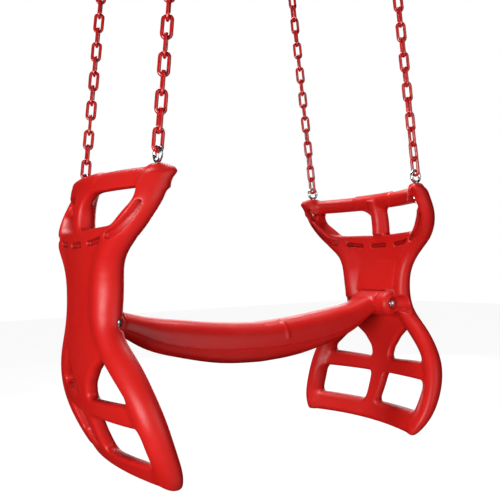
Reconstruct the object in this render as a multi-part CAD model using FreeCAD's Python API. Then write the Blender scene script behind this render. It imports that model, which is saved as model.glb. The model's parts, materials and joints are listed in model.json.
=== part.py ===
import FreeCAD, Part
import math
import os

from FreeCAD import Vector

# Two-rider glider swing: two moulded end panels joined by a long seat beam, hung on four coated chains.
# X runs along the seat from the left panel to the right one, Y across it, Z up, millimetres.
# The origin is midway between the four hooks, at the height where their upper bows bear on the frame above.
# Glider pieces are drawn with Z measured from the eyebolt bosses' datum and then moved down to GLIDER_Z.

# Chain, a long-link chain with a soft coating
LINK_COUNT = 17
LINK_WIRE_R = 3.6
LINK_LEG_X = 8.0
LINK_PITCH = 32.8
LINK_GAP = 0.3
LINK_REACH = (LINK_PITCH + LINK_GAP) / 2 + LINK_WIRE_R
CHAIN_LEAN = 0.105
TWIST_PER_LINK = 6.0
TWIST_LIMIT = 30.0

# Eyebolts
EYE_X = 313.0
EYE_Y = 181.0
RING_WIRE_R = 3.5
RING_R = 12.5
RING_TOP_Z = 19.5
SHANK_R = 3.9
SHANK_END_Z = -52.0
NUT_ACROSS = 13.0
NUT_HIGH = 6.5
NUT_TOP_Z = -36.0
SHANK_HOLE_R = 4.2
EYE_WASHER_R = 8.5
EYE_WASHER_THICK = 1.6
EYE_POCKET_R = 11.0
EYE_POCKET_REACH = 50.0
HINGE_GAP = 0.5
FREE_PIVOT_SLACK = 2.4

# Spring hooks
HOOK_WIRE_R = 3.5
HOOK_LOW_R = 9.5
HOOK_HIGH_R = 13.0
HOOK_HEIGHT = 62.0
HOOK_NOSE = 3.0
HOOK_HEEL = 2.5
GATE_R = 3.25
GATE_SLOT = 3.2
GATE_HEEL = 3.5
GATE_NOSE_GAP = 4.3
TAB_THICK = 2.6
TAB_WIDE = 5.6
TAB_START = 1.0
TAB_LENGTH = 10.0
NOSE_TAB_LENGTH = 7.5
GATE_PIN_R = 1.0
PIN_CLEARANCE = 0.06
PIVOT_ALONG = 8.0
BORE_LENGTH = 20.0

# End panels
PLATE_HALF = 12.0
WALL = 4.0
BOTTOM_BOW = 3.0
RIM_WALL = 5.0
# The rims are hollow between these heights, above and below the bolt's pockets
RIM_HOLLOWS = [(-500.0, -322.0), (-238.0, -76.0)]
CAVITY_TOP_Z = -112.0
CUT_LOW_X = 250.0
CUT_HIGH_X = 450.0
SHEET_HALF_WIDE = 240.0
SHEET_TOP_Z = 20.0
SHEET_BOTTOM_Z = -570.0
SHEET_COLUMNS = 12
SHEET_ROWS = 20
EDGE_CURVE = 0.0008
TOP_CURVE = 0.0009
TOP_CURVE_START = -130.0
TOP_CURVE_REACH = 110.0
BAR_R = 15.5
BAR_Z = -28.0
BAR_TIP_X = 316.0
SLEEVE_R = 18.0
SLEEVE_HALF = 62.0
BOSS_TOP_Z = -9.0
BOSS_FOOT_Z = -50.0
BOSS_FOOT_R = 21.0
BOSS_TOP_R = 15.0

# Seat beam and its cross bolts
KNUCKLE_X = 345.0
KNUCKLE_Z = -280.0
KNUCKLE_R = 29.5
KNUCKLE_HALF = 38.5
KNUCKLE_BACK_X = 368.2
FAR_CHEEK_R = 17.0
CHEEK_IN = 39.0
CHEEK_OUT = 74.0
POCKET_DEPTH = 7.0
POCKET_R = 12.5
LEDGE_RISE = 12.0
APRON_RISE = 55.0
FACE_GAP = 0.5
BOLT_R = 5.0
BOLT_HOLE_R = 5.4
BOLT_SPARE = 16.0
BOLT_BORE_HALF = 120.0
HEAD_R = 9.5
HEAD_DOME_R = 12.0
HEAD_HIGH = 7.0
BOLT_WASHER_R = 11.5
BOLT_WASHER_THICK = 2.0
BOLT_NUT_ACROSS = 16.0
BOLT_NUT_HIGH = 9.0
NECK_X = 316.0
NECK_INSET = 4.0
NECK_DROP = 26.0
NECK_HIGH = 40.0
SEAT_END_WALL = 12.0

# Chain length between the eyebolt's ring and the hook's lower bow, and what follows from it
CROWN_OFFSET = LINK_WIRE_R + RING_WIRE_R + HINGE_GAP
CHAIN_SPAN = (LINK_COUNT - 1) * LINK_PITCH + 2 * LINK_REACH - 2 * CROWN_OFFSET
LEAN_LENGTH = math.hypot(1.0, CHAIN_LEAN)
LEAN_DEG = math.degrees(math.atan(CHAIN_LEAN))
HOOK_X = EYE_X - CHAIN_SPAN * CHAIN_LEAN / LEAN_LENGTH
HOOK_LOW_Z = -(HOOK_HEIGHT - HOOK_WIRE_R)
GLIDER_Z = HOOK_LOW_Z - CHAIN_SPAN / LEAN_LENGTH - RING_TOP_Z

# Chains by letter: side along X, side along Y, and whether the ring and hook stand across the seat
CHAINS = {"a": (-1, -1, True), "b": (-1, 1, True), "c": (1, -1, False), "d": (1, 1, False)}

X_AXIS = Vector(1, 0, 0)
Y_AXIS = Vector(0, 1, 0)
Z_AXIS = Vector(0, 0, 1)
ORIGIN = Vector(0, 0, 0)

# Middle surface of an end panel on its centre line: height and distance out from the seat's middle
PANEL_PROFILE = [(20, 336), (-28, 369), (-62, 381), (-107, 385), (-150, 384), (-200, 382), (-280, 382),
                 (-340, 383), (-400, 380), (-447, 369), (-511, 342), (-570, 306)]
# Side edge of the panel's plate, half width and height, from the top corner to the bottom one
PLATE_EDGE = [(190, -22), (193, -60), (168, -106), (121, -150), (94, -192), (88, -240), (100, -298),
              (151, -355), (186, -395), (203, -445), (203, -508), (190, -546), (176, -563)]
# Rim along that edge: half width, height, shift outward from the middle surface, radius
RIM = [(190, -28, 4, 17), (193, -48, 1, 19), (184, -76, -3, 22), (156, -112, -6, 24), (119, -148, -6, 22),
       (95, -188, -11, 18), (85, -236, -14, 18), (91, -296, -10, 18), (137, -346, -8, 20), (174, -392, -7, 20),
       (193, -443, -4, 20), (193, -504, -1, 16), (175, -547, 1, 12)]
# Openings of one half: their corner points (half width, height) and the radius of their corners
HAND_HOLE = ([(20, -48), (168, -48), (171, -70), (135, -107), (21, -111)], 11)
UPPER_HOLE = ([(85, -343), (154, -408), (152, -415), (30, -415), (34, -400)], 3)
LOWER_HOLE = ([(25, -453), (162, -453), (152, -522), (20, -522)], 12)
# Seat beam: the section's shape as shares of its half width and its depth from the top,
# and the sections' distance along X, top, bottom and half width
SECTION_SHAPE = [(0, 0), (0.55, 0.04), (0.93, 0.22), (1, 0.42), (0.93, 0.6), (0.78, 0.82), (0.45, 0.97),
                 (0, 1)]
SEAT_SECTIONS = [(0, -305, -391, 50), (100, -299, -384, 49), (200, -287, -362, 46), (270, -276, -337, 42),
                 (318, -264, -309, 38)]


def export(name, shape):
    shape.exportStep("parts/" + name + ".step")


def moved(shape, offset):
    copy = shape.copy()
    copy.translate(offset)
    return copy


def turned(shape, axis, degrees, centre=ORIGIN):
    copy = shape.copy()
    copy.rotate(centre, axis, degrees)
    return copy


def fuse_all(shapes):
    return shapes[0].multiFuse(shapes[1:]).removeSplitter()


def cylinder_along(start, end, radius):
    span = end.sub(start)
    return Part.makeCylinder(radius, span.Length, start, span)


def extruded(corners, thickness):
    """Prism from a closed run of corner points, pushed out by a vector."""
    return Part.Face(Part.makePolygon(corners + [corners[0]])).extrude(thickness)


# ---- chain ----

def chain_direction(side):
    return Vector(-side * CHAIN_LEAN, 0, 1).multiply(1 / LEAN_LENGTH)


def ring_point(side_x, side_y):
    return Vector(side_x * EYE_X, side_y * EYE_Y, GLIDER_Z + RING_TOP_Z)


def link_shape():
    """One closed link standing in the XZ plane, centred on the origin."""
    crown_z = LINK_REACH - LINK_LEG_X
    pieces = []
    for side in (-1, 1):
        foot = Vector(side * LINK_LEG_X, 0, -crown_z)
        pieces.append(Part.makeCylinder(LINK_WIRE_R, 2 * crown_z, foot, Z_AXIS))
    crown = Part.makeTorus(LINK_LEG_X, LINK_WIRE_R, ORIGIN, Z_AXIS, 0, 360, 180)
    upper = turned(crown, X_AXIS, 90)
    pieces.append(moved(upper, Vector(0, 0, crown_z)))
    lower = turned(upper, Y_AXIS, 180)
    pieces.append(moved(lower, Vector(0, 0, -crown_z)))
    return fuse_all(pieces)


def link_turn(index, across):
    """Turn of a link about the chain: alternate links stand square, and the middle of the run twists."""
    from_end = min(index, LINK_COUNT - 1 - index)
    twist = min(from_end * TWIST_PER_LINK, TWIST_LIMIT)
    square = 90 if (index % 2 == 0) != across else 0
    return square - twist


def chain_links(letter):
    side_x, side_y, across = CHAINS[letter]
    slack = 0 if across else FREE_PIVOT_SLACK
    pitch = LINK_PITCH + slack / (LINK_COUNT - 1)
    first = LINK_REACH - CROWN_OFFSET - slack
    links = []
    for index in range(LINK_COUNT):
        link = turned(LINK, Z_AXIS, link_turn(index, across))
        link = turned(link, Y_AXIS, -side_x * LEAN_DEG)
        along = chain_direction(side_x).multiply(first + index * pitch)
        links.append(moved(link, ring_point(side_x, side_y).add(along)))
    return links


def export_chain(letter):
    links = chain_links(letter)
    export("chain_" + letter + "_bottom_link", links[0])
    export("chain_" + letter + "_run", Part.makeCompound(links[1:-1]))
    export("chain_" + letter + "_top_link", links[-1])


# ---- spring hook ----

def hook_frame():
    """Centres of the hook's bows, and the outward normal and direction of its side lines."""
    low = Vector(0, 0, HOOK_LOW_R)
    high = Vector(0, 0, HOOK_HEIGHT - HOOK_HIGH_R)
    spread = math.asin((HOOK_HIGH_R - HOOK_LOW_R) / (high.z - low.z))
    normal = Vector(math.cos(spread), 0, -math.sin(spread))
    along = Vector(math.sin(spread), 0, math.cos(spread))
    return low, high, normal, along


def mirrored_x(vector):
    return Vector(-vector.x, vector.y, vector.z)


def gate_point(distance):
    low, high, normal, along = hook_frame()
    return low.add(Vector(normal).multiply(HOOK_LOW_R)).add(Vector(along).multiply(distance))


def gate_span():
    rise = HOOK_HEIGHT - HOOK_HIGH_R - HOOK_LOW_R
    return math.sqrt(rise ** 2 - (HOOK_HIGH_R - HOOK_LOW_R) ** 2)


def gate_line_box(wide, thick, start, end):
    """Box centred on the gate's line, between two distances along it."""
    along = hook_frame()[3]
    box = Part.makeBox(wide, thick, end - start, Vector(-wide / 2, -thick / 2, start))
    box = turned(box, Y_AXIS, math.degrees(math.asin(along.x)))
    return moved(box, gate_point(0))


def pivot_bore(radius):
    foot = gate_point(PIVOT_ALONG).add(Vector(0, -BORE_LENGTH / 2, 0))
    return Part.makeCylinder(radius, BORE_LENGTH, foot, Y_AXIS)


def hook_body():
    low, high, normal, along = hook_frame()
    span = gate_span()
    nose_start = gate_point(span - HOOK_NOSE)
    nose = gate_point(span)
    back_high = high.add(mirrored_x(normal).multiply(HOOK_HIGH_R))
    back_low = low.add(mirrored_x(normal).multiply(HOOK_LOW_R))
    heel = gate_point(0)
    heel_end = gate_point(HOOK_HEEL)
    over = Part.Arc(nose, high.add(Vector(0, 0, HOOK_HIGH_R)), back_high)
    under = Part.Arc(back_low, low.add(Vector(0, 0, -HOOK_LOW_R)), heel)
    edges = [Part.LineSegment(nose_start, nose).toShape(), over.toShape(),
             Part.LineSegment(back_high, back_low).toShape(), under.toShape(),
             Part.LineSegment(heel, heel_end).toShape()]
    path = Part.Wire(edges)
    section = Part.Wire(Part.makeCircle(HOOK_WIRE_R, nose_start, along))
    wire = path.makePipeShell([section], True, False)
    nose_tab_end = span - HOOK_NOSE / 2
    heel_tab = gate_line_box(TAB_WIDE, TAB_THICK, TAB_START, TAB_START + TAB_LENGTH)
    nose_tab = gate_line_box(TAB_WIDE, TAB_THICK, nose_tab_end - NOSE_TAB_LENGTH, nose_tab_end)
    body = fuse_all([wire, heel_tab, nose_tab])
    return body.cut(pivot_bore(GATE_PIN_R + PIN_CLEARANCE))


def gate_body():
    """Round gate with a fork at each end, over the hook's two tongues."""
    span = gate_span()
    start = PIVOT_ALONG - GATE_HEEL
    end = span - GATE_NOSE_GAP
    gate = cylinder_along(gate_point(start), gate_point(end), GATE_R)
    heel_slot = gate_line_box(BORE_LENGTH, GATE_SLOT, start - 1, TAB_START + TAB_LENGTH + 1.5)
    nose_slot = gate_line_box(BORE_LENGTH, GATE_SLOT, span - NOSE_TAB_LENGTH - HOOK_NOSE, end + 1)
    return gate.cut(Part.makeCompound([heel_slot, nose_slot])).cut(pivot_bore(GATE_PIN_R))


def gate_pin():
    middle = gate_point(PIVOT_ALONG)
    half = GATE_R - 0.2
    return Part.makeCylinder(GATE_PIN_R, 2 * half, middle.add(Vector(0, -half, 0)), Y_AXIS)


def place_hook(shape, letter):
    """Set a hook piece with its lower bow's wire at the chain's upper end."""
    side_x, side_y, across = CHAINS[letter]
    turn = 90 * side_y if across else (180 if side_x > 0 else 0)
    turned_piece = turned(shape, Z_AXIS, turn)
    return moved(turned_piece, Vector(side_x * HOOK_X, side_y * EYE_Y, HOOK_LOW_Z))


# ---- eyebolt ----

def eyebolt():
    """Ring in the XZ plane with its shank below, centred on the shank's axis."""
    ring_z = RING_TOP_Z - RING_R
    ring = Part.makeTorus(RING_R, RING_WIRE_R, Vector(0, 0, ring_z), Y_AXIS)
    shank_top = ring_z - RING_R
    shank = Part.makeCylinder(SHANK_R, shank_top - SHANK_END_Z, Vector(0, 0, SHANK_END_Z), Z_AXIS)
    return fuse_all([ring, shank])


def hexagon(across_flats, height, hole_r):
    corner_r = across_flats / 2 / math.cos(math.radians(30))
    corners = []
    for step in range(6):
        angle = math.radians(60 * step)
        corners.append(Vector(corner_r * math.cos(angle), corner_r * math.sin(angle), 0))
    return extruded(corners, Vector(0, 0, height)).cut(Part.makeCylinder(hole_r, height))


def washer(outer_r, hole_r, thick):
    return Part.makeCylinder(outer_r, thick).cut(Part.makeCylinder(hole_r, thick))


def export_eyebolt(letter):
    side_x, side_y, across = CHAINS[letter]
    place = Vector(side_x * EYE_X, side_y * EYE_Y, GLIDER_Z)
    bolt = turned(eyebolt(), Z_AXIS, 90 if across else 0)
    export("eyebolt_" + letter, moved(bolt, place))
    disc = washer(EYE_WASHER_R, SHANK_HOLE_R, EYE_WASHER_THICK)
    disc_z = NUT_TOP_Z - EYE_WASHER_THICK
    export("eyebolt_" + letter + "_washer", moved(disc, place.add(Vector(0, 0, disc_z))))
    nut = hexagon(NUT_ACROSS, NUT_HIGH, SHANK_R)
    export("eyebolt_" + letter + "_nut", moved(nut, place.add(Vector(0, 0, disc_z - NUT_HIGH))))


# ---- end panel ----

PROFILE_CURVE = Part.BSplineCurve()
PROFILE_CURVE.interpolate([Vector(x, 0, z) for z, x in PANEL_PROFILE])


def surface_x(y, z):
    """Distance out of the panel's middle surface at a height and a distance across."""
    line = Part.Line(Vector(0, 0, z), Vector(1, 0, z))
    centre = PROFILE_CURVE.intersectCC(line)[0].X
    top_share = min(max((z - TOP_CURVE_START) / TOP_CURVE_REACH, 0.0), 1.0)
    return centre - (EDGE_CURVE + TOP_CURVE * top_share) * y * y


def spread(first, last, count):
    return [first + (last - first) * step / count for step in range(count + 1)]


def slab(start, thickness):
    """The panel's double-curved sheet, from an offset along X and of a thickness along X."""
    rows = []
    for z in spread(SHEET_TOP_Z, SHEET_BOTTOM_Z, SHEET_ROWS):
        across = spread(-SHEET_HALF_WIDE, SHEET_HALF_WIDE, SHEET_COLUMNS)
        rows.append([Vector(surface_x(y, z) + start, y, z) for y in across])
    surface = Part.BSplineSurface()
    surface.interpolate(rows)
    return surface.toShape().extrude(Vector(thickness, 0, 0))


def plate_prism(inset=0.0):
    """Prism of the plate's outline, an edge curve on each side joined by the top and bottom lines."""
    side = [Vector(CUT_LOW_X, half - inset, z) for half, z in PLATE_EDGE]
    side[0] = side[0].add(Vector(0, 0, -inset))
    side[-1] = side[-1].add(Vector(0, 0, inset))
    other = [Vector(p.x, -p.y, p.z) for p in side]
    right = Part.BSplineCurve()
    right.interpolate(side)
    left = Part.BSplineCurve()
    left.interpolate(other)
    top = Part.LineSegment(other[0], side[0])
    bottom = Part.Arc(side[-1], Vector(CUT_LOW_X, 0, side[-1].z + BOTTOM_BOW), other[-1])
    outline = Part.Wire([top.toShape(), right.toShape(), bottom.toShape(), left.toShape()])
    return Part.Face(outline).extrude(Vector(CUT_HIGH_X - CUT_LOW_X, 0, 0))


def level_slice(low_z, high_z):
    """Box round the whole panel between two heights."""
    corner = Vector(CUT_LOW_X, -SHEET_HALF_WIDE, low_z)
    return Part.makeBox(CUT_HIGH_X - CUT_LOW_X, 2 * SHEET_HALF_WIDE, high_z - low_z, corner)


def rounded_prism(corners, radius, grow=0.0, side=1):
    """Prism along X through the panel, from an opening's corners, with its long edges rounded."""
    points = [Vector(CUT_LOW_X, side * y, z) for y, z in corners]
    wire = Part.makePolygon(points + [points[0]])
    if grow:
        wire = wire.makeOffset2D(grow, 2)
    depth = CUT_HIGH_X - CUT_LOW_X
    solid = Part.Face(wire).extrude(Vector(depth, 0, 0))
    long_edges = [edge for edge in solid.Edges if edge.Length > depth - 1]
    return solid.makeFillet(radius, long_edges)


def openings(grow=0.0):
    cutters = []
    for side in (-1, 1):
        for corners, radius in (HAND_HOLE, UPPER_HOLE, LOWER_HOLE):
            cutters.append(rounded_prism(corners, radius, grow, side))
    return cutters


def rim(side, wall=0.0):
    """Rounded rim along one edge, lofted through circles set square to its path and smaller by a wall."""
    centres = [Vector(surface_x(half, z) + shift, side * half, z) for half, z, shift, radius in RIM]
    circles = []
    for index, centre in enumerate(centres):
        before = centres[max(index - 1, 0)]
        after = centres[min(index + 1, len(RIM) - 1)]
        circles.append(Part.Wire(Part.makeCircle(RIM[index][3] - wall, centre, after.sub(before))))
    return Part.makeLoft(circles, True, False)


def bar_pipe(half, radius):
    """Round bar on the handlebar's bowed line, reaching the same distance each side of the middle."""
    middle = Vector(surface_x(0, BAR_Z), 0, BAR_Z)
    sagitta = middle.x - BAR_TIP_X
    bow_r = (EYE_Y ** 2 + sagitta ** 2) / (2 * sagitta)
    end_x = middle.x - bow_r + math.sqrt(bow_r ** 2 - half ** 2)
    arc = Part.Arc(Vector(end_x, -half, BAR_Z), middle, Vector(end_x, half, BAR_Z))
    start = arc.value(arc.FirstParameter)
    heading = arc.tangent(arc.FirstParameter)[0]
    section = Part.Wire(Part.makeCircle(radius, start, heading))
    return Part.Wire(arc.toShape()).makePipeShell([section], True, False)


def handlebar():
    """Bowed bar across the top with a thicker middle and a boss round each eyebolt."""
    pieces = [bar_pipe(EYE_Y, BAR_R), bar_pipe(SLEEVE_HALF, SLEEVE_R)]
    for side in (-1, 1):
        foot = Vector(EYE_X, side * EYE_Y, BOSS_FOOT_Z)
        pieces.append(Part.makeCone(BOSS_FOOT_R, BOSS_TOP_R, BOSS_TOP_Z - BOSS_FOOT_Z, foot, Z_AXIS))
    return pieces


def cheeks():
    """Two bosses that hold the seat's end between them, and the ledge above that stops it tipping."""
    pieces = []
    web_x = surface_x(0, KNUCKLE_Z) + WALL
    wide = CHEEK_OUT - CHEEK_IN
    for low_y, radius in ((-CHEEK_OUT, KNUCKLE_R), (CHEEK_IN, FAR_CHEEK_R)):
        centre = Vector(KNUCKLE_X, low_y, KNUCKLE_Z)
        pieces.append(Part.makeCylinder(radius, wide, centre, Y_AXIS))
        corner = Vector(KNUCKLE_X, low_y, KNUCKLE_Z - radius)
        pieces.append(Part.makeBox(web_x - KNUCKLE_X, wide, 2 * radius, corner))
    ledge_z = KNUCKLE_Z + KNUCKLE_R + FACE_GAP
    slope = [(web_x, 0), (KNUCKLE_X, 0), (KNUCKLE_X + LEDGE_RISE / 3, LEDGE_RISE), (web_x, APRON_RISE)]
    corners = [Vector(x, -CHEEK_OUT, ledge_z + rise) for x, rise in slope]
    pieces.append(extruded(corners, Vector(0, 2 * CHEEK_OUT, 0)))
    return pieces


def panel_cutters():
    """Bolt holes, bolt head pockets, eyebolt holes and eyebolt pockets."""
    cutters = []
    bore_foot = Vector(KNUCKLE_X, -BOLT_BORE_HALF, KNUCKLE_Z)
    cutters.append(Part.makeCylinder(BOLT_HOLE_R, 2 * BOLT_BORE_HALF, bore_foot, Y_AXIS))
    for side in (-1, 1):
        floor = Vector(KNUCKLE_X, side * (CHEEK_OUT - POCKET_DEPTH), KNUCKLE_Z)
        cutters.append(Part.makeCylinder(POCKET_R, BOLT_BORE_HALF / 2, floor, Vector(0, side, 0)))
        shank_foot = Vector(EYE_X, side * EYE_Y, SHANK_END_Z - BORE_LENGTH)
        cutters.append(Part.makeCylinder(SHANK_HOLE_R, BORE_LENGTH - SHANK_END_Z, shank_foot, Z_AXIS))
        pocket_long = EYE_POCKET_REACH + EYE_POCKET_R
        pocket_low = Vector(EYE_X - EYE_POCKET_REACH, side * EYE_Y, NUT_TOP_Z - EYE_POCKET_R)
        cutters.append(Part.makeCylinder(EYE_POCKET_R, pocket_long, pocket_low, X_AXIS))
        corner = pocket_low.sub(Vector(0, EYE_POCKET_R, 0))
        cutters.append(Part.makeBox(pocket_long, 2 * EYE_POCKET_R, EYE_POCKET_R, corner))
    return cutters


def panel():
    """Right-hand end panel in the glider's own heights."""
    plate = slab(-PLATE_HALF, 2 * PLATE_HALF).common(plate_prism())
    solid = plate.multiFuse([rim(-1), rim(1)] + handlebar() + cheeks())
    solid = solid.cut(Part.makeCompound(openings() + panel_cutters()))
    blocked = openings(WALL)
    cavity = slab(-PLATE_HALF + WALL, 2 * (PLATE_HALF - WALL)).common(plate_prism(WALL * 2))
    cavity = cavity.cut(Part.makeCompound(blocked))
    cavity = cavity.common(level_slice(SHEET_BOTTOM_Z, CAVITY_TOP_Z))
    tubes = Part.makeCompound([rim(-1, RIM_WALL), rim(1, RIM_WALL)])
    hollow_levels = Part.makeCompound([level_slice(low, high) for low, high in RIM_HOLLOWS])
    hollows = tubes.common(hollow_levels).cut(Part.makeCompound(blocked))
    return solid.cut(cavity).cut(hollows)


# ---- seat beam ----

def seat_section(x, top, bottom, half, inset=0.0):
    """Closed section: a domed top, sides that fall to a step, and a narrower keel below it."""
    top = top - inset
    bottom = bottom + inset
    half = half - inset
    points = [Vector(x, share * half, top + (bottom - top) * drop) for share, drop in SECTION_SHAPE]
    points += [Vector(x, -p.y, p.z) for p in reversed(points[1:-1])]
    curve = Part.BSplineCurve()
    curve.interpolate(points, PeriodicFlag=True)
    return Part.Wire(curve.toShape())


def seat_loft(inset=0.0, last=0.0):
    sections = []
    for x, top, bottom, half in reversed(SEAT_SECTIONS[1:]):
        sections.append(seat_section(-(x - last), top, bottom, half, inset))
    for x, top, bottom, half in SEAT_SECTIONS:
        sections.append(seat_section(x - (last if x else 0), top, bottom, half, inset))
    return Part.makeLoft(sections, True, False)


def seat():
    """Hollow beam with a round knuckle at each end, flat where it backs on the panel's web."""
    pieces = [seat_loft()]
    bores = []
    for side in (-1, 1):
        centre = Vector(side * KNUCKLE_X, -KNUCKLE_HALF, KNUCKLE_Z)
        knuckle = Part.makeCylinder(KNUCKLE_R, 2 * KNUCKLE_HALF, centre, Y_AXIS)
        back = Part.makeBox(KNUCKLE_R, 2 * KNUCKLE_HALF, 2 * KNUCKLE_R, Vector(KNUCKLE_BACK_X, 0, 0))
        back = moved(back, Vector(0, -KNUCKLE_HALF, KNUCKLE_Z - KNUCKLE_R))
        pieces.append(knuckle.cut(back if side > 0 else turned(back, Z_AXIS, 180)))
        near = Vector(min(side * NECK_X, side * KNUCKLE_X), NECK_INSET - KNUCKLE_HALF, KNUCKLE_Z - NECK_DROP)
        pieces.append(Part.makeBox(KNUCKLE_X - NECK_X, 2 * (KNUCKLE_HALF - NECK_INSET), NECK_HIGH, near))
        bore_foot = centre.sub(Vector(0, KNUCKLE_HALF, 0))
        bores.append(Part.makeCylinder(BOLT_HOLE_R, 4 * KNUCKLE_HALF, bore_foot, Y_AXIS))
    solid = fuse_all(pieces)
    return solid.cut(seat_loft(WALL, SEAT_END_WALL)).cut(Part.makeCompound(bores))


# ---- cross bolts ----

def cross_bolt():
    """Bolt along Y with a domed head at its near end, on the knuckle's axis."""
    seat_y = CHEEK_OUT - POCKET_DEPTH
    foot = Vector(0, -seat_y, 0)
    shank = Part.makeCylinder(BOLT_R, 2 * seat_y + BOLT_SPARE, foot, Y_AXIS)
    dome = Part.makeSphere(HEAD_DOME_R, foot.add(Vector(0, HEAD_DOME_R - HEAD_HIGH, 0)))
    keep = Part.makeCylinder(HEAD_R, 2 * HEAD_HIGH, foot, Vector(0, -1, 0))
    return fuse_all([shank, dome.common(keep)])


def export_cross_bolt(side, word):
    place = Vector(side * KNUCKLE_X, 0, GLIDER_Z + KNUCKLE_Z)
    seat_y = CHEEK_OUT - POCKET_DEPTH
    export("seat_bolt_" + word, moved(cross_bolt(), place))
    disc = turned(washer(BOLT_WASHER_R, BOLT_R + 0.2, BOLT_WASHER_THICK), X_AXIS, -90)
    export("seat_bolt_" + word + "_washer", moved(disc, place.add(Vector(0, seat_y, 0))))
    nut = turned(hexagon(BOLT_NUT_ACROSS, BOLT_NUT_HIGH, BOLT_R), X_AXIS, -90)
    nut_place = place.add(Vector(0, seat_y + BOLT_WASHER_THICK, 0))
    export("seat_bolt_" + word + "_nut", moved(nut, nut_place))


LINK = link_shape()

os.makedirs("parts", exist_ok=True)
for chain_letter in CHAINS:
    export_chain(chain_letter)
    export("hook_" + chain_letter, place_hook(hook_body(), chain_letter))
    export("hook_" + chain_letter + "_gate", place_hook(gate_body(), chain_letter))
    export("hook_" + chain_letter + "_gate_pin", place_hook(gate_pin(), chain_letter))
    export_eyebolt(chain_letter)
drop = Vector(0, 0, GLIDER_Z)
right_panel = panel()
export("right_end_panel", moved(right_panel, drop))
export("left_end_panel", moved(turned(right_panel, Z_AXIS, 180), drop))
export("seat_beam", moved(seat(), drop))
export_cross_bolt(1, "right")
export_cross_bolt(-1, "left")
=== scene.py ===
import json
import math
from itertools import product

import bpy
import numpy as np
from mathutils import Matrix, Vector

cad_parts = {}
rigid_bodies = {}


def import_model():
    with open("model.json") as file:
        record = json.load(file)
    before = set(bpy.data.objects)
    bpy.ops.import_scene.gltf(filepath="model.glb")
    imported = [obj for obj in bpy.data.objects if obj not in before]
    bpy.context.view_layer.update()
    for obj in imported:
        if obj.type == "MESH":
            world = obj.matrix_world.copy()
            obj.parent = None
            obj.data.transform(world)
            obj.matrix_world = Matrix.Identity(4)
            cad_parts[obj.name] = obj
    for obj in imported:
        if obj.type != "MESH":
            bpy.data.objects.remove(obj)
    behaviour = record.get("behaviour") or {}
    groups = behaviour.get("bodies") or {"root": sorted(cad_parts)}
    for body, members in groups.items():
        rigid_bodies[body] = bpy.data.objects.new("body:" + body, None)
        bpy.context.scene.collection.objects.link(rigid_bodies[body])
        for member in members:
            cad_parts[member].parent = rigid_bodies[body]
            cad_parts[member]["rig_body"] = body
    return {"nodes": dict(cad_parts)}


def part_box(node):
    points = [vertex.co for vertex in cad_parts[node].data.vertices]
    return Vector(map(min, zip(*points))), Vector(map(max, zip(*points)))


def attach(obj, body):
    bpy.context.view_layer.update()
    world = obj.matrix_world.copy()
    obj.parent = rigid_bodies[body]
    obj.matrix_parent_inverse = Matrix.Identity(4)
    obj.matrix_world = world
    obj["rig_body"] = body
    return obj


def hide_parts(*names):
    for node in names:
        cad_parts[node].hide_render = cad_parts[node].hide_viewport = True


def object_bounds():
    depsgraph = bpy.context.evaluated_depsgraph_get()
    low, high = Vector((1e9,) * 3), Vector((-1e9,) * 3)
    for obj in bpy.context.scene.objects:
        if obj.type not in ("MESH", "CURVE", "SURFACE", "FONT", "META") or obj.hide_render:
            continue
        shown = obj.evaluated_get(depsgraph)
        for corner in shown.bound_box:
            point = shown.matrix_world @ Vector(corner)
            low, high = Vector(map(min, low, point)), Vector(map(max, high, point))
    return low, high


# Two-rider glider swing: detailed moulded pieces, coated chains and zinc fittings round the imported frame.
# Moulded pieces are worked out in millimetres as distance fields, in the glider's own heights, whose zero
# is the eyebolts' datum. A field is negative inside the piece, and its zero surface becomes the mesh.

MM = 0.001

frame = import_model()
cad_low, cad_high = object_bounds()


def box_mm(node):
    low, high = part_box(node)
    return np.array(low) / MM, np.array(high) / MM


# ---- places read from the frame ----

RING_TOP_Z = 19.5
RING_WIRE_R = 3.5
eye_low, eye_high = box_mm("eyebolt_d")
bolt_low, bolt_high = box_mm("seat_bolt_right")
GLIDER_Z = eye_high[2] - RING_TOP_Z - RING_WIRE_R
EYE_X, EYE_Y = (eye_low[:2] + eye_high[:2]) / 2
KNUCKLE_X = (bolt_low[0] + bolt_high[0]) / 2
KNUCKLE_Z = (bolt_low[2] + bolt_high[2]) / 2 - GLIDER_Z

# ---- end panel ----

# Middle surface of an end panel on its centre line: height and distance out from the seat's middle
PANEL_PROFILE = [(20, 336), (-28, 369), (-62, 381), (-107, 385), (-150, 384), (-200, 382), (-280, 382),
                 (-340, 383), (-400, 380), (-447, 369), (-511, 342), (-570, 306)]
EDGE_CURVE = 0.0008
TOP_CURVE = 0.0009
TOP_CURVE_START = -130.0
TOP_CURVE_REACH = 110.0
# Above the waist the moulding sits a little off its centre line, fully so this far above where it begins
TOP_SHIFT = 3.0
TOP_SHIFT_START = -160.0
TOP_SHIFT_REACH = 60.0
PLATE_HALF = 12.0
PLATE_ROUND = 11.0
# Side edge of the panel's plate: half width and height
PLATE_EDGE = [(190, -22), (193, -60), (168, -106), (121, -150), (94, -192), (88, -240), (100, -298),
              (151, -355), (186, -395), (203, -445), (203, -508), (190, -544), (176, -560)]
# The bottom edge rises by this much in its middle
BOTTOM_BOW = 3.0
BOTTOM_POINTS = 17
# Rim along that edge: half width, height, shift outward from the middle surface, radius
RIM = [(193, -27, 5, 16), (191, -48, 1, 17), (183, -76, -4, 21), (156, -112, -6, 23),
       (119, -148, -6, 21), (95, -188, -11, 19), (85, -236, -14, 19), (91, -296, -10, 19),
       (137, -346, -8, 20), (174, -392, -7, 20), (193, -443, -4, 20), (193, -504, -1, 16),
       (172, -541, 0, 12)]
RIM_BLEND = 15.0
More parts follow.
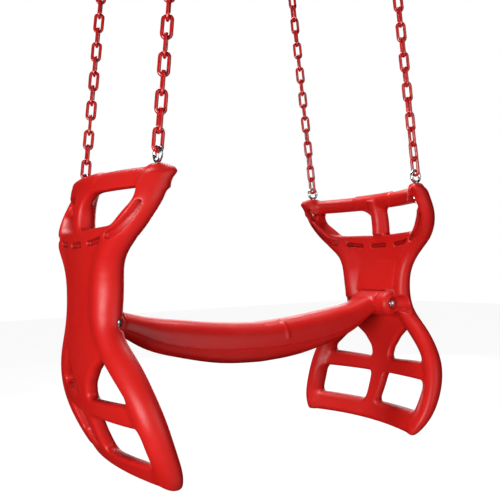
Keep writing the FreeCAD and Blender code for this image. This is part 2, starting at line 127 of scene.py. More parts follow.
# Round the waist the rim on the row's far side melts into the web, fully so in the middle of this height
WAIST_BLEND = 34.0
WAIST_Z = -232.0
WAIST_REACH = 90.0
WAIST_FADE = 1.6
WAIST_SIDE_REACH = 40.0
BAR_BLEND = 8.0
# Openings of one half: half width, height and radius of each corner. Only the hand hole on the row's far
# side has a wide fillet against the post. This is the right panel; the left one is turned half way round.
HAND_HOLE = [(20, -49, 9), (170, -49, 14), (172, -71, 20), (136, -107, 26), (21, -111, 6)]
WIDE_FILLET = 44
UPPER_HOLE = [(85, -341, 5), (156, -409, 8), (30, -415, 7), (36, -392, 22), (56, -365, 30)]
LOWER_HOLE = [(25, -453, 8), (165, -453, 13), (156, -515, 12), (20, -515, 9)]
HOLE_ROUND = 7.0
# A corner's fillet takes up at most this share of the shorter side beside it
CORNER_REACH = 0.7
# On the row's far side the openings reach further out: their width past this line is stretched
HOLE_STRETCH_Y = 30.0
HAND_STRETCH = 1.07
FOOT_STRETCH = 1.12
BAR_R = 15.5
BAR_Z = -28.0
BAR_TIP_X = EYE_X + 3
SLEEVE_R = 18.0
SLEEVE_HALF = 62.0
SLEEVE_EDGE = 1.2
SLEEVE_BLEND = 1.5
POST_R = 16.4
POST_SHIFT = 9.5
POST_LOW_Z = -112.0
POST_END_ROUND = 2.0
BOSS_TOP_Z = -9.0
BOSS_FOOT_Z = -50.0
BOSS_TOP_R = 15.0
BOSS_FOOT_R = 21.0
# Grooves pressed into both faces below the hand holes: short dashes across, and a long one up each wing
DASHES = [[(-22, -139), (22, -139)], [(57, -138), (100, -133)]]
DASH_R = 4.2
WING_GROOVE = [(131, -128), (152, -120), (169, -107), (182, -92), (190, -76)]
WING_GROOVE_R = (7.0, 3.6)
GROOVE_DEPTH = 7.5
GROOVE_EDGE = 2.6
EYE_POCKET_R = 10.0
EYE_POCKET_TOP_Z = -46.0
EYE_POCKET_END_X = EYE_X + 11
# Grid of the panel's field: distance off the middle surface, across and height, each low, high and step
PANEL_OFFSETS = (-76, 36, 2.0)
PANEL_ACROSS = (-230, 230, 2.5)
PANEL_HEIGHTS = (-590, 10, 2.5)
# Knuckle that holds the seat's end
KNUCKLE_R = 29.5
FAR_CHEEK_R = 15.0
CHEEK_IN = 39.2
CHEEK_OUT = 74.0
SLOT_R = 30.2
POCKET_DEPTH = 7.0
POCKET_R = 13.0
POCKET_FLARE = 0.22
POCKET_EDGE = 2.0
FAR_POCKET_R = 10.5
FAR_POCKET_FLARE = 0.08
LEDGE_X = 354.0
LEDGE_Z = KNUCKLE_Z + 30.0
APRON_TOP_Z = -180.0
APRON_HALF = 66.0
APRON_CURVE = 1.3
CHEEK_BLEND = 6.0
CHEEK_EDGE = 12.0
SLOT_EDGE = 0.8

# ---- seat beam ----

# Distance along X, top, bottom and half width of the sections, and the height of the moulding step
SEAT_SECTIONS = [(0, -305, -391, 50, -356), (100, -299, -384, 49, -352), (200, -287, -362, 46, -339),
                 (270, -276, -337, 42, -317), (318, -264, -309, 38, -296), (345, -259, -300, 37, -291)]
STEP_INSET = 2.6
SEAT_DOME = 2.7
SEAT_KEEL = 2.2
KNUCKLE_HALF = 38.4
KNUCKLE_BACK_X = 368.2
KNUCKLE_BLEND = 5.0
KNUCKLE_BACK_ROUND = 1.0
EDGE_ROUND = 3.0
# Steepness given to the seat's dome and keel, as a share of the half width, so that they read as distances
SEAT_STEEPNESS = 0.6
STEP_OVERLAP = (1, 6)
STEP_BLEND = 0.8
# Short raised mark on the near side above the step: place, half thickness, height, and how it fades in
MARK_X = 50
MARK_HALF = 2.6
MARK_HIGH = 1.6
MARK_NEAR_Y = -12
MARK_FADE_Y = 4
MARK_LIFT = 10
MARK_FADE_Z = 6
# Grid of the seat's field: along, across and height over the seat's top, each low, high and step
SEAT_ALONG = (-376, 376, 4.0)
SEAT_ACROSS = (-56, 56, 1.75)
SEAT_HEIGHTS = (-94, 14, 1.75)


# ---- fields and meshes ----

def spread(low, high, step):
    count = round((high - low) / step)
    return (low + step * np.arange(count + 1)).astype(np.float32)


def along_grid(grid, steps):
    low, _, step = grid
    return low + step * steps


def spline(knots, values):
    """Smooth curve through values at rising knots, as a function that holds its ends."""
    knots = np.array(knots, float)
    values = np.array(values, float)
    gap = np.diff(knots)
    slope = np.diff(values) / gap
    system = np.eye(len(knots))
    right = np.zeros(len(knots))
    for i in range(1, len(knots) - 1):
        system[i, i - 1:i + 2] = gap[i - 1], 2 * (gap[i - 1] + gap[i]), gap[i]
        right[i] = 6 * (slope[i] - slope[i - 1])
    bend = np.linalg.solve(system, right)

    def curve(at):
        at = np.clip(at, knots[0], knots[-1])
        i = np.clip(np.searchsorted(knots, at) - 1, 0, len(gap) - 1)
        run = at - knots[i]
        first = slope[i] - gap[i] * (2 * bend[i] + bend[i + 1]) / 6
        third = run ** 3 * (bend[i + 1] - bend[i]) / (6 * gap[i])
        return values[i] + run * first + run ** 2 * bend[i] / 2 + third

    return curve


def smooth_path(rows, per_gap=8):
    """Rows of numbers joined by smooth curves, column by column."""
    rows = np.array(rows, float)
    knots = np.arange(len(rows))
    at = np.linspace(0, len(rows) - 1, (len(rows) - 1) * per_gap + 1)
    return np.stack([spline(knots, column)(at) for column in rows.T], 1)


def smooth_min(a, b, width):
    share = np.clip(0.5 + 0.5 * (b - a) / width, 0, 1)
    return b + (a - b) * share - width * share * (1 - share)


def smooth_max(a, b, width):
    return -smooth_min(-a, -b, width)


def rounded_both(a, b, radius):
    """Where two pieces overlap, with the edge between their surfaces rounded."""
    a = a + radius
    b = b + radius
    return np.minimum(np.maximum(a, b), 0) + np.hypot(np.maximum(a, 0), np.maximum(b, 0)) - radius


def path_distance(y, z, path, extra=()):
    """Distance to a run of points, and the extra columns' values at the nearest place."""
    best = np.full(y.shape, 1e9)
    carried = [np.zeros(y.shape) for column in extra]
    for i in range(len(path) - 1):
        start = path[i]
        span = path[i + 1] - start
        share = ((y - start[0]) * span[0] + (z - start[1]) * span[1]) / (span @ span)
        share = np.clip(share, 0, 1)
        distance = np.hypot(y - start[0] - share * span[0], z - start[1] - share * span[1])
        nearer = distance < best
        best = np.where(nearer, distance, best)
        for k, column in enumerate(extra):
            here = column[i] + share * (column[i + 1] - column[i])
            carried[k] = np.where(nearer, here, carried[k])
    return (best, *carried) if extra else best


def outline_distance(y, z, points):
    """Distance to a closed outline, negative inside it."""
    closed = np.vstack([points, points[:1]])
    inside = np.zeros(y.shape, bool)
    for (y0, z0), (y1, z1) in zip(closed[:-1], closed[1:]):
        if z0 != z1:
            inside ^= ((z0 > z) != (z1 > z)) & (y < (y1 - y0) * (z - z0) / (z1 - z0) + y0)
    distance = path_distance(y, z, closed)
    return np.where(inside, -distance, distance)


def rounded_outline(corners, steps=8):
    """Closed outline from corner points, each with the radius that rounds it."""
    points = []
    places = [np.array(corner[:2], float) for corner in corners]
    for i, (_, _, radius) in enumerate(corners):
        here = places[i]
        before = places[i - 1] - here
        after = places[(i + 1) % len(places)] - here
        long_before = np.linalg.norm(before)
        long_after = np.linalg.norm(after)
        half_angle = math.acos(before @ after / long_before / long_after) / 2
        reach = min(radius / math.tan(half_angle), CORNER_REACH * long_before, CORNER_REACH * long_after)
        start = here + before / long_before * reach
        end = here + after / long_after * reach
        weight = math.sin(half_angle)
        for step in range(steps + 1):
            t = step / steps
            parts = ((1 - t) ** 2, 2 * weight * t * (1 - t), t ** 2)
            points.append((parts[0] * start + parts[1] * here + parts[2] * end) / sum(parts))
    return np.array(points)


def surface_net(field):
    """Quads of a field's zero surface, with points in grid steps."""
    inside = field < 0
    cells_shape = tuple(n - 1 for n in field.shape)
    count = np.zeros(cells_shape, np.int8)
    for corner in product((0, 1), repeat=3):
        count += inside[tuple(slice(c, c + n) for c, n in zip(corner, cells_shape))]
    active = (count > 0) & (count < 8)
    cells = np.argwhere(active)
    number = np.full(cells_shape, -1, np.int64)
    number[active] = np.arange(len(cells))
    total = np.zeros((len(cells), 3))
    crossings = np.zeros(len(cells))
    for axis in range(3):
        step = np.eye(3, dtype=int)[axis]
        for offset in product((0, 1), repeat=2):
            start = np.insert(np.array(offset), axis, 0)
            low = field[tuple((cells + start).T)]
            high = field[tuple((cells + start + step).T)]
            crossed = (low < 0) != (high < 0)
            share = np.where(crossed, low / np.where(crossed, low - high, 1), 0)
            total += np.where(crossed[:, None], start + share[:, None] * step, 0)
            crossings += crossed
    points = cells + total / crossings[:, None]
    quads = []
    for axis in range(3):
        step = np.eye(3, dtype=int)[axis]
        low = inside[tuple(slice(0, -1) if k == axis else slice(None) for k in range(3))]
        high = inside[tuple(slice(1, None) if k == axis else slice(None) for k in range(3))]
        edges = np.argwhere(low != high)
        other = [k for k in range(3) if k != axis]
        keep = np.all((edges[:, other] > 0) & (edges[:, other] < np.array(cells_shape)[other]), 1)
        edges = edges[keep]
        b, c = np.eye(3, dtype=int)[other[0]], np.eye(3, dtype=int)[other[1]]
        ring = [number[tuple((edges - shift).T)] for shift in (b + c, c, 0 * b, b)]
        quad = np.stack(ring, 1)
        outward = low[tuple(edges.T)] ^ (axis == 1)
        quads.append(np.where(outward[:, None], quad, quad[:, ::-1]))
    return points, np.vstack(quads)


def sampled(grid, at):
    """Values of a grid at points given in grid steps."""
    low = np.clip(np.floor(at).astype(int), 0, np.array(grid.shape) - 2)
    share = at - low
    value = np.zeros(len(at))
    for corner in product((0, 1), repeat=3):
        weight = np.prod(np.where(corner, share, 1 - share), 1)
        value += weight * grid[tuple((low + corner).T)]
    return value


def settled(points, field, rounds=2):
    """Points moved onto a field's zero surface, in grid steps."""
    slopes = np.gradient(field)
    for _ in range(rounds):
        value = sampled(field, points)
        slope = np.stack([sampled(part, points) for part in slopes], 1)
        move = slope * (value / np.maximum((slope ** 2).sum(1), 1e-6))[:, None]
        points = points - np.clip(move, -0.5, 0.5)
    return points


def add_piece(name, points, faces, material, body, replaced):
    """Smooth mesh piece from points in millimetres, riding on a body in place of CAD nodes."""
    mesh = bpy.data.meshes.new(name)
    mesh.from_pydata((np.asarray(points) * MM).tolist(), [], np.asarray(faces).tolist())
    mesh.validate()
    mesh.shade_smooth()
    mesh.materials.append(material)
    piece = bpy.data.objects.new(name, mesh)
    bpy.context.scene.collection.objects.link(piece)
    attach(piece, body)
    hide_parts(*replaced)
    return piece


# ---- materials ----

OPENNESS_SAMPLES = 8
CREVICE_REACH = 0.014


class Shader:
    """A Principled material, and short ways to add nodes to it."""

    def __init__(self, name, colour, **inputs):
        self.material = bpy.data.materials.new(name)
        self.material.use_nodes = True
        self.tree = self.material.node_tree
        self.surface = self.tree.nodes["Principled BSDF"]
        self.set("Base Color", (*colour, 1))
        for socket, value in inputs.items():
            self.set(socket.replace("_", " ").title().replace("Ior", "IOR"), value)
        self.place = self.tree.nodes.new("ShaderNodeTexCoord").outputs["Object"]

    def set(self, socket, value):
        self.surface.inputs[socket].default_value = value

    def link(self, output, socket):
        self.tree.links.new(output, self.surface.inputs[socket])

    def noise(self, scale, detail=3.0, rough=0.5, stretch=(1, 1, 1)):
        """Noise fixed to the object: waves per metre, levels of detail, their roughness, stretch by axis."""
        mapping = self.tree.nodes.new("ShaderNodeMapping")
        mapping.inputs["Scale"].default_value = stretch
        self.tree.links.new(self.place, mapping.inputs["Vector"])
        node = self.tree.nodes.new("ShaderNodeTexNoise")
        node.inputs["Scale"].default_value = scale
        node.inputs["Detail"].default_value = detail
        node.inputs["Roughness"].default_value = rough
        self.tree.links.new(mapping.outputs["Vector"], node.inputs["Vector"])
        return node.outputs["Fac"]

    def ranged(self, value, low, high, from_low=0.3, from_high=0.7):
        """A value that runs from from_low to from_high, turned into one that runs from low to high."""
        node = self.tree.nodes.new("ShaderNodeMapRange")
        node.inputs["From Min"].default_value = from_low
        node.inputs["From Max"].default_value = from_high
        node.inputs["To Min"].default_value = low
        node.inputs["To Max"].default_value = high
        self.tree.links.new(value, node.inputs["Value"])
        return node.outputs["Result"]

    def mixed(self, share, first, second):
        """Two colours, or a colour and a node's output, mixed by a share."""
        node = self.tree.nodes.new("ShaderNodeMix")
        node.data_type = "RGBA"
        self.tree.links.new(share, node.inputs["Factor"])
        for socket, value in (("A", first), ("B", second)):
            target = [s for s in node.inputs if s.name == socket and s.type == "RGBA"][0]
            if isinstance(value, tuple):
                target.default_value = (*value, 1)
            else:
                self.tree.links.new(value, target)
        return [s for s in node.outputs if s.type == "RGBA"][0]

    def openness(self, reach):
        """How open the surface is to the air around it, looking as far as reach in metres."""
        node = self.tree.nodes.new("ShaderNodeAmbientOcclusion")
        node.samples = OPENNESS_SAMPLES
        node.only_local = True
        node.inputs["Distance"].default_value = reach
        return node.outputs["AO"]

    def pointiness(self):
        return self.tree.nodes.new("ShaderNodeNewGeometry").outputs["Pointiness"]

    def bump(self, *layers):
        """Bumps laid over each other, each a height output, a distance in metres and a strength."""
        normal = None
        for height, distance, strength in layers:
            node = self.tree.nodes.new("ShaderNodeBump")
            node.inputs["Distance"].default_value = distance
            node.inputs["Strength"].default_value = strength
            self.tree.links.new(height, node.inputs["Height"])
            if normal is not None:
                self.tree.links.new(normal, node.inputs["Normal"])
            normal = node.outputs["Normal"]
        self.link(normal, "Normal")


def moulded_plastic(name, colour, dusty, roughness):
    """Blow-moulded polyethylene: slightly wavy, finely grained, paler on rubbed edges, with painted shade
    darkening its crevices and grooves.
    """
    shader = Shader(name, colour, specular_ior_level=0.32)
    cloud = shader.noise(9.0, 4.0, 0.6)
    body = shader.mixed(shader.ranged(cloud, 0.0, 1.0), colour, dusty)
    speck = shader.noise(520.0, 2.0)
    darker = tuple(0.82 * c for c in colour)
    body = shader.mixed(shader.ranged(speck, 0.0, 0.35, 0.55, 0.75), body, darker)
    rubbed = tuple(min(1.0, 1.12 * c + 0.035) for c in colour)
    body = shader.mixed(shader.ranged(shader.pointiness(), 0.0, 0.55, 0.53, 0.60), body, rubbed)
    # Painted shade: the colour darkens where ambient occlusion finds the surface closed in, in crevices and
    # grooves.
    painted_shade_colour = tuple(0.28 * c for c in colour)
    body = shader.mixed(shader.ranged(shader.openness(CREVICE_REACH), 0.85, 0.0, 0.45, 0.85), body, painted_shade_colour)
    shader.link(body, "Base Color")
    patches = shader.noise(38.0, 5.0, 0.65)
    shader.link(shader.ranged(patches, roughness - 0.05, roughness + 0.07), "Roughness")
    shader.bump((shader.noise(22.0, 2.0), 0.0012, 0.35), (shader.noise(260.0, 3.0), 0.0002, 0.30),
                (shader.noise(1500.0, 2.0), 0.00006, 0.35))
    return shader.material


def dipped_coating(name, colour):
    """Glossy soft coating on the chain, thicker in places and marked where links rub."""
    shader = Shader(name, colour, specular_ior_level=0.6, coat_weight=0.5, coat_roughness=0.12)
    cloud = shader.noise(60.0, 3.0)
    deep = tuple(0.62 * c for c in colour)
    body = shader.mixed(shader.ranged(cloud, 0.0, 0.8), colour, deep)
    bright = tuple(min(1.0, 1.15 * c + 0.03) for c in colour)
    body = shader.mixed(shader.ranged(shader.pointiness(), 0.0, 0.6, 0.5, 0.62), body, bright)
    shader.link(body, "Base Color")
    shader.link(shader.ranged(shader.noise(150.0, 4.0), 0.16, 0.34), "Roughness")
    shader.bump((shader.noise(140.0, 2.0), 0.0009, 0.45), (shader.noise(700.0, 3.0), 0.00012, 0.35))
    return shader.material


def zinc_plate(name, colour, roughness):
    """Zinc-plated steel: bright, faintly mottled, with fine drawing marks."""
    shader = Shader(name, colour, metallic=1.0)
    mottle = shader.noise(160.0, 4.0, 0.6)
    dull = tuple(0.66 * c for c in colour)
    body = shader.mixed(shader.ranged(mottle, 0.0, 0.8), colour, dull)
    shader.link(body, "Base Color")
    shader.link(shader.ranged(shader.noise(90.0, 5.0, 0.7), roughness - 0.08, roughness + 0.14), "Roughness")
    marks = shader.noise(420.0, 4.0, 0.6, (1, 1, 0.15))
    shader.bump((marks, 0.00012, 0.4), (shader.noise(1800.0, 2.0), 0.00004, 0.3))
    return shader.material


PANEL_RED = (0.66, 0.012, 0.010)
PANEL_DUSTY = (0.68, 0.016, 0.013)
SEAT_RED = (0.64, 0.010, 0.009)
SEAT_DUSTY = (0.66, 0.018, 0.015)
CHAIN_RED = (0.62, 0.008, 0.008)
ZINC = (0.78, 0.79, 0.80)
STEEL = (0.62, 0.63, 0.65)

panel_plastic = moulded_plastic("panel_plastic_red", PANEL_RED, PANEL_DUSTY, 0.40)
seat_plastic = moulded_plastic("seat_plastic_red", SEAT_RED, SEAT_DUSTY, 0.34)
chain_coating = dipped_coating("chain_coating_red", CHAIN_RED)
zinc_steel = zinc_plate("zinc_plated_steel", ZINC, 0.24)
hook_steel = zinc_plate("hook_spring_steel", STEEL, 0.32)


# ---- the end panels' mesh ----

profile = spline([z for z, x in reversed(PANEL_PROFILE)], [x for z, x in reversed(PANEL_PROFILE)])


def surface_x(y, z):
    """Distance out of the panel's middle surface."""
    top_share = np.clip((z - TOP_CURVE_START) / TOP_CURVE_REACH, 0, 1)
    return profile(z) - (EDGE_CURVE + TOP_CURVE * top_share) * y * y


def plate_outline():
    side = smooth_path(PLATE_EDGE)
    low = side[-1]
    between = np.linspace(low[0], -low[0], BOTTOM_POINTS)[1:-1]
    bottom = [(y, low[1] - BOTTOM_BOW * ((y / low[0]) ** 2 - 1)) for y in between]
    return np.vstack([side, bottom, side[::-1] * (-1, 1)])


def groove_depth(y, z):
    """How deep the grooves are cut into both faces at each place, in millimetres."""
    side = np.abs(y)
    cut = path_distance(y, z, np.array(DASHES[0], float)) - DASH_R
    cut = np.minimum(cut, path_distance(side, z, np.array(DASHES[1], float)) - DASH_R)
    wing = smooth_path(WING_GROOVE)
    radius = np.linspace(*WING_GROOVE_R, len(wing))
    distance, width = path_distance(side, z, wing, (radius,))
    cut = np.minimum(cut, distance - width)
    share = np.clip(0.5 - cut / GROOVE_EDGE, 0, 1)
    return GROOVE_DEPTH * share ** 2 * (3 - 2 * share)


def holes_distance(y, z):
    past = np.maximum(y - HOLE_STRETCH_Y, 0)
    hand_y = y - past * (1 - 1 / HAND_STRETCH)
    foot_side = np.abs(y - past * (1 - 1 / FOOT_STRETCH))
    far_hand_hole = [(*HAND_HOLE[0][:2], WIDE_FILLET)] + HAND_HOLE[1:]
    found = [outline_distance(hand_y, z, rounded_outline(far_hand_hole))]
    found += [outline_distance(-y, z, rounded_outline(HAND_HOLE))]
    found += [outline_distance(foot_side, z, rounded_outline(hole)) for hole in (UPPER_HOLE, LOWER_HOLE)]
    return np.minimum.reduce(found)


def bar_distance(x, y, z, radius):
    """Round bar on the bowed line through both eyebolts and the middle of the panel's top."""
    middle = surface_x(0.0, BAR_Z)
    sagitta = middle - BAR_TIP_X
    bow = (EYE_Y ** 2 + sagitta ** 2) / (2 * sagitta)
    return np.hypot(np.hypot(x - middle + bow, y) - bow, z - BAR_Z) - radius


def handlebar_field(body, x, y, z):
    side = np.abs(y)
    bar = rounded_both(bar_distance(x, y, z, BAR_R), side - EYE_Y, EDGE_ROUND)
    body = smooth_min(body, bar, BAR_BLEND)
    boss_r = BOSS_TOP_R + (BOSS_FOOT_R - BOSS_TOP_R) * (BOSS_TOP_Z - z) / (BOSS_TOP_Z - BOSS_FOOT_Z)
    boss = rounded_both(np.hypot(x - EYE_X, side - EYE_Y) - boss_r, z - BOSS_TOP_Z, 2 * EDGE_ROUND)
    boss = smooth_max(boss, BOSS_FOOT_Z - z, EDGE_ROUND)
    body = smooth_min(body, boss, BAR_BLEND)
    sleeve = rounded_both(bar_distance(x, y, z, SLEEVE_R), side - SLEEVE_HALF, SLEEVE_EDGE)
    return smooth_min(body, sleeve, SLEEVE_BLEND)


def post_field(body, x, y, z):
    post = np.hypot(x - profile(z) + POST_SHIFT, y) - POST_R
    post = smooth_max(post, np.maximum(POST_LOW_Z - z, z - BAR_Z), POST_END_ROUND)
    return smooth_min(body, post, BAR_BLEND)


def knuckle_field(body, x, y, z, surface):
    """The two cheeks, the apron over the ledge, the slot for the seat's end and the bolt's pockets."""
    side = np.abs(y)
    axis = np.hypot(x - KNUCKLE_X, z - KNUCKLE_Z)
    cheek_r = np.where(y > 0, FAR_CHEEK_R, KNUCKLE_R)
    inner = surface - PLATE_HALF / 2
    block = np.maximum(np.abs(z - KNUCKLE_Z) - cheek_r, np.maximum(KNUCKLE_X - x, x - inner))
    cheek = np.minimum(axis - cheek_r, block)
    cheek = rounded_both(cheek, side - CHEEK_OUT, CHEEK_EDGE)
    body = smooth_min(body, cheek, CHEEK_BLEND)
    rise = np.clip((z - LEDGE_Z) / (APRON_TOP_Z - LEDGE_Z), 0, 1)
    front = LEDGE_X + (surface - PLATE_HALF - LEDGE_X) * rise ** APRON_CURVE
    apron = np.maximum(np.maximum(front - x, x - inner), np.maximum(LEDGE_Z - z, z - APRON_TOP_Z))
    apron = rounded_both(apron, side - APRON_HALF, CHEEK_EDGE)
    body = smooth_min(body, apron, CHEEK_BLEND)
    slot = np.maximum(axis - SLOT_R, side - CHEEK_IN)
    below = np.maximum(KNUCKLE_Z - SLOT_R - z, x - KNUCKLE_BACK_X)
    below = np.maximum(np.maximum(side - CHEEK_IN, z - LEDGE_Z), below)
    body = smooth_max(body, -np.minimum(slot, below), SLOT_EDGE)
    floor_y = CHEEK_OUT - POCKET_DEPTH
    wall = np.where(y > 0, FAR_POCKET_R, POCKET_R)
    flare = np.where(y > 0, FAR_POCKET_FLARE, POCKET_FLARE)
    pocket = np.maximum(axis - wall - flare * np.maximum(side - floor_y, 0), floor_y - side)
    return smooth_max(body, -pocket, POCKET_EDGE)


def eye_pocket_field(body, x, y, z):
    """Recess on the inner face of each tip, where the eyebolt's nut is tightened."""
    side = np.abs(y) - EYE_Y
    drop = np.clip(z, EYE_POCKET_TOP_Z - EYE_POCKET_R, EYE_POCKET_TOP_Z)
    pocket = np.hypot(side, z - drop) - EYE_POCKET_R
    pocket = smooth_max(pocket, x - EYE_POCKET_END_X, EDGE_ROUND)
    return smooth_max(body, -pocket, EDGE_ROUND)


def panel_mesh():
    """Points in millimetres and faces of the right-hand panel, in the row frame."""
    offset = spread(*PANEL_OFFSETS)[:, None, None]
    across = spread(*PANEL_ACROSS)[None, :, None]
    height = spread(*PANEL_HEIGHTS)[None, None, :]
    y, z = np.broadcast_arrays(across[0], height[0])
    surface = surface_x(y, z)
    slope_y, slope_z = np.gradient(surface, PANEL_ACROSS[2], PANEL_HEIGHTS[2])
    lean = (1 / np.sqrt(1 + slope_y ** 2 + slope_z ** 2)).astype(np.float32)
    surface = surface.astype(np.float32)
    depth = offset * lean
    shifted = y + TOP_SHIFT * np.clip((z - TOP_SHIFT_START) / TOP_SHIFT_REACH, 0, 1)
    holes = holes_distance(shifted, z).astype(np.float32)
    flat = np.maximum(outline_distance(shifted, z, plate_outline()), -holes).astype(np.float32)
    body = rounded_both(flat, np.abs(depth) - PLATE_HALF, PLATE_ROUND)
    rim = smooth_path(RIM)
    distance, shift, radius = path_distance(np.abs(shifted), z, rim[:, :2], (rim[:, 2], rim[:, 3]))
    tube = np.hypot(distance.astype(np.float32), (offset - shift) * lean) - radius
    waist = np.clip(WAIST_FADE - WAIST_FADE * np.abs(z - WAIST_Z) / WAIST_REACH, 0, 1)
    waist = waist * np.clip(y / WAIST_SIDE_REACH, 0, 1)
    blend = (RIM_BLEND + (WAIST_BLEND - RIM_BLEND) * waist).astype(np.float32)
    body = smooth_min(body, tube.astype(np.float32), blend)
    body = smooth_max(body, -holes, HOLE_ROUND)
    x = surface + offset
    body = post_field(body, x, across, height)
    body = handlebar_field(body, x, across, height)
    body = knuckle_field(body, x, across, height, surface)
    body = body + groove_depth(y, z).astype(np.float32)
    body = eye_pocket_field(body, x, across, height).astype(np.float32)
    points, faces = surface_net(body)
    points = settled(points, body)
    y_out = along_grid(PANEL_ACROSS, points[:, 1])
    z_out = along_grid(PANEL_HEIGHTS, points[:, 2])
    x_out = surface_x(y_out, z_out) + along_grid(PANEL_OFFSETS, points[:, 0])
    return np.stack([x_out, y_out, z_out + GLIDER_Z], 1), faces


# ---- the seat's mesh ----

def seat_mesh():
    """Points in millimetres and faces of the seat beam, in the row frame."""
    columns = list(zip(*SEAT_SECTIONS))
    along = spread(*SEAT_ALONG)[:, None, None]
    across = spread(*SEAT_ACROSS)[None, :, None]
    drop = spread(*SEAT_HEIGHTS)[None, None, :]
    top, bottom, half, step_z = [spline(columns[0], column)(np.abs(along)) for column in columns[1:]]
    z = top + drop
    side = np.abs(across)
    high = np.maximum(z - step_z, 0) / (top - step_z)
    dome = ((side / half) ** SEAT_DOME + high ** SEAT_DOME) ** (1 / SEAT_DOME)
    upper = np.maximum((dome - 1) * SEAT_STEEPNESS * half, step_z - STEP_OVERLAP[0] - z)
    low = np.maximum(step_z - z, 0) / (step_z - bottom)
    keel = ((side / (half - STEP_INSET)) ** SEAT_KEEL + low ** SEAT_KEEL) ** (1 / SEAT_KEEL)
    lower = np.maximum((keel - 1) * SEAT_STEEPNESS * half, z - step_z - STEP_OVERLAP[1])
    body = smooth_min(upper, lower, STEP_BLEND)
    body = smooth_max(body, np.abs(along) - KNUCKLE_X, EDGE_ROUND)
    knuckle = np.hypot(np.abs(along) - KNUCKLE_X, z - KNUCKLE_Z) - KNUCKLE_R
    knuckle = rounded_both(knuckle, side - KNUCKLE_HALF, EDGE_ROUND)
    knuckle = smooth_max(knuckle, np.abs(along) - KNUCKLE_BACK_X, KNUCKLE_BACK_ROUND)
    body = smooth_min(body, knuckle, KNUCKLE_BLEND)
    mark = np.exp(-((along - MARK_X) / MARK_HALF) ** 2)
    mark = mark * np.clip((MARK_NEAR_Y - across) / MARK_FADE_Y, 0, 1)
    mark = mark * np.clip((z - step_z - MARK_LIFT) / MARK_FADE_Z, 0, 1)
    body = (body - MARK_HIGH * mark).astype(np.float32)
    points, faces = surface_net(body)
    points = settled(points, body)
    x_out = along_grid(SEAT_ALONG, points[:, 0])
    y_out = along_grid(SEAT_ACROSS, points[:, 1])
    z_out = spline(columns[0], columns[1])(np.abs(x_out)) + along_grid(SEAT_HEIGHTS, points[:, 2])
    return np.stack([x_out, y_out, z_out + GLIDER_Z], 1), faces


panel_points, panel_faces = panel_mesh()
add_piece("right_panel_moulding", panel_points, panel_faces, panel_plastic, "glider",
          ["right_end_panel"])
add_piece("left_panel_moulding", panel_points * (-1, -1, 1), panel_faces, panel_plastic, "glider",
          ["left_end_panel"])
seat_points, seat_faces = seat_mesh()
add_piece("seat_moulding", seat_points, seat_faces, seat_plastic, "glider", ["seat_beam"])


# ---- chains ----

LINK_WIRE_R = 3.55
LINK_LEG_X = 8.0
LINK_CROWN_Z = 12.15
LINK_COUNT = 17
TWIST_PER_LINK = 6.0
TWIST_LIMIT = 30.0
LINK_STEPS = 56
WIRE_STEPS = 18
COATING_WAVE = 0.16
# Two waves run along a link's coating, the second one weaker, each shifted from link to link
WAVES_ALONG = (3, 7)
WAVE_SHIFTS = (1.7, 2.9)
SECOND_WAVE = 0.6
# Chains by letter, and whether the bottom link stands square to the seat
CHAINS = {"a": True, "b": True, "c": False, "d": False}


def link_point(share):
    """Point and outward direction on a link's closed centre line, share of the way round, in the XZ plane."""
    leg = 2 * LINK_CROWN_Z
    crown = math.pi * LINK_LEG_X
    walked = share * 2 * (leg + crown)
    turned = walked >= leg + crown
    walked -= (leg + crown) * turned
    if walked < leg:
        x, z, out = LINK_LEG_X, walked - LINK_CROWN_Z, 0.0
    else:
        out = (walked - leg) / LINK_LEG_X
        x, z = LINK_LEG_X * math.cos(out), LINK_CROWN_Z + LINK_LEG_X * math.sin(out)
    flip = -1 if turned else 1
    return np.array([flip * x, 0, flip * z]), np.array([flip * math.cos(out), 0, flip * math.sin(out)])


def link_mesh(seed):
    """One link, its coating slightly uneven along and around the wire."""
    points = []
    for i in range(LINK_STEPS):
        centre, outward = link_point(i / LINK_STEPS)
        for k in range(WIRE_STEPS):
            around = 2 * math.pi * k / WIRE_STEPS
            first, second = [count * 2 * math.pi * i / LINK_STEPS + shift * seed
                             for count, shift in zip(WAVES_ALONG, WAVE_SHIFTS)]
            wave = math.sin(first) * math.cos(around + seed)
            wave += SECOND_WAVE * math.sin(second + 2 * around)
            radius = LINK_WIRE_R - COATING_WAVE * (1 + wave / (1 + SECOND_WAVE)) / 2
            spoke = math.cos(around) * outward + math.sin(around) * np.array([0, 1, 0])
            points.append(centre + radius * spoke)
    faces = []
    for i, k in product(range(LINK_STEPS), range(WIRE_STEPS)):
        i_next, k_next = (i + 1) % LINK_STEPS, (k + 1) % WIRE_STEPS
        corners = ((i, k), (i, k_next), (i_next, k_next), (i_next, k))
        faces.append([row * WIRE_STEPS + column for row, column in corners])
    return np.array(points), np.array(faces)


def turn_matrix(axis, degrees):
    return np.array(Matrix.Rotation(math.radians(degrees), 3, axis))


def link_turn(index, across):
    from_end = min(index, LINK_COUNT - 1 - index)
    square = 90 if (index % 2 == 0) != across else 0
    return square - min(from_end * TWIST_PER_LINK, TWIST_LIMIT)


def chain_part(letter, part, indexes, centres, lean):
    points, faces = [], []
    for index in indexes:
        link, quads = link_mesh(index + 20 * "abcd".index(letter))
        placed = link @ (turn_matrix("Y", lean) @ turn_matrix("Z", link_turn(index, CHAINS[letter]))).T
        faces.append(quads + sum(len(p) for p in points))
        points.append(placed + centres[index])
    node = f"chain_{letter}_{part}"
    body = frame["nodes"][node]["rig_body"]
    add_piece(f"{node}_coated", np.vstack(points), np.vstack(faces), chain_coating, body,
              [node])


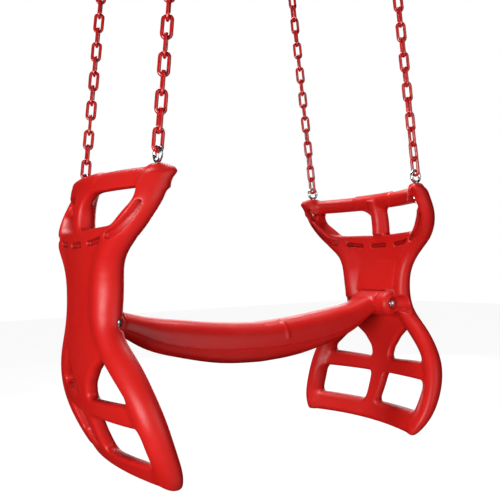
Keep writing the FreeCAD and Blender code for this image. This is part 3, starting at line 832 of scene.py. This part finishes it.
def add_chain(letter):
    """Seventeen links spaced evenly from the bottom link to the top one, in line with the chain's lean."""
    ends = [np.mean(box_mm(f"chain_{letter}_{part}"), 0) for part in ("bottom_link", "top_link")]
    centres = np.linspace(*ends, LINK_COUNT)
    rise = ends[1] - ends[0]
    lean = math.degrees(math.atan2(rise[0], rise[2]))
    chain_part(letter, "bottom_link", [0], centres, lean)
    chain_part(letter, "run", range(1, LINK_COUNT - 1), centres, lean)
    chain_part(letter, "top_link", [LINK_COUNT - 1], centres, lean)


for chain_letter in CHAINS:
    add_chain(chain_letter)


# ---- carried-over metal nodes ----

for node_name, node in frame["nodes"].items():
    if node_name.startswith("hook"):
        node.data.materials.clear()
        node.data.materials.append(hook_steel)
    elif "bolt" in node_name:
        node.data.materials.clear()
        node.data.materials.append(zinc_steel)


# ---- camera, light and floor ----

CAMERA_PLACE = (-0.7764, -1.1587, -0.8126)
CAMERA_YAW = 33.40
CAMERA_PITCH = 1.60
CAMERA_ROLL = -1.32
CAMERA_LENS = 46.06
FLOOR_DROP = 0.35
FLOOR_HALF = 9.0
FLOOR_GLOW = 0.96
WHITE = (1.0, 1.0, 1.0)
PALE_GREY = (0.97, 0.97, 0.97)
# Soft lamps: name, place, width and height, and power. All of them point at the middle of the glider.
MIDDLE = (0, 0, -0.85)
LAMPS = [("key", (-2.6, -1.4, -1.3), (1.5, 1.6), 122),
         ("fill", (0.6, -3.4, -0.4), (2.4, 2.4), 34),
         ("top", (0.2, 0.9, 1.5), (2.2, 1.0), 90),
         ("back", (2.4, 2.8, -0.2), (2.4, 2.4), 42),
         ("under", (0.0, -1.0, -2.6), (2.4, 2.4), 5)]


def add_camera():
    data = bpy.data.cameras.new("camera")
    data.lens = CAMERA_LENS
    data.sensor_width = 36.0
    camera = bpy.data.objects.new("camera", data)
    yaw = Matrix.Rotation(math.radians(-CAMERA_YAW), 4, "Z")
    pitch = Matrix.Rotation(math.radians(90 + CAMERA_PITCH), 4, "X")
    roll = Matrix.Rotation(math.radians(CAMERA_ROLL), 4, "Z")
    camera.matrix_world = Matrix.Translation(CAMERA_PLACE) @ yaw @ pitch @ roll
    bpy.context.scene.collection.objects.link(camera)
    bpy.context.scene.camera = camera


def add_lamp(name, place, size, power):
    data = bpy.data.lights.new(name, "AREA")
    data.shape = "RECTANGLE"
    data.size, data.size_y = size
    data.energy = power
    lamp = bpy.data.objects.new(name, data)
    lamp.location = place
    lamp.rotation_euler = (Vector(MIDDLE) - Vector(place)).to_track_quat("-Z", "Y").to_euler()
    bpy.context.scene.collection.objects.link(lamp)


def add_floor():
    """Plain pale floor, well below the hanging glider, bright enough to melt into the studio behind it."""
    shader = Shader("pale_floor", (0.05, 0.05, 0.05), roughness=0.9, emission_strength=FLOOR_GLOW)
    shader.link(shader.mixed(shader.noise(3.0), PALE_GREY, WHITE), "Emission Color")
    half = FLOOR_HALF
    points = [(-half, -half, 0), (half, -half, 0), (half, half, 0), (-half, half, 0)]
    mesh = bpy.data.meshes.new("floor")
    mesh.from_pydata(points, [], [(0, 1, 2, 3)])
    mesh.materials.append(shader.material)
    floor = bpy.data.objects.new("floor", mesh)
    floor.location.z = cad_low.z - FLOOR_DROP
    floor.visible_diffuse = False
    floor.visible_glossy = False
    bpy.context.scene.collection.objects.link(floor)


def add_world():
    """White studio round everything, seen but giving no light of its own."""
    world = bpy.data.worlds.new("studio")
    world.use_nodes = True
    background = world.node_tree.nodes["Background"]
    background.inputs["Color"].default_value = (*WHITE, 1)
    world.cycles_visibility.diffuse = False
    world.cycles_visibility.glossy = False
    bpy.context.scene.world = world


bpy.context.scene.view_settings.view_transform = "Standard"
add_camera()
for lamp_row in LAMPS:
    add_lamp(*lamp_row)
add_floor()
add_world()

bpy.context.view_layer.update()
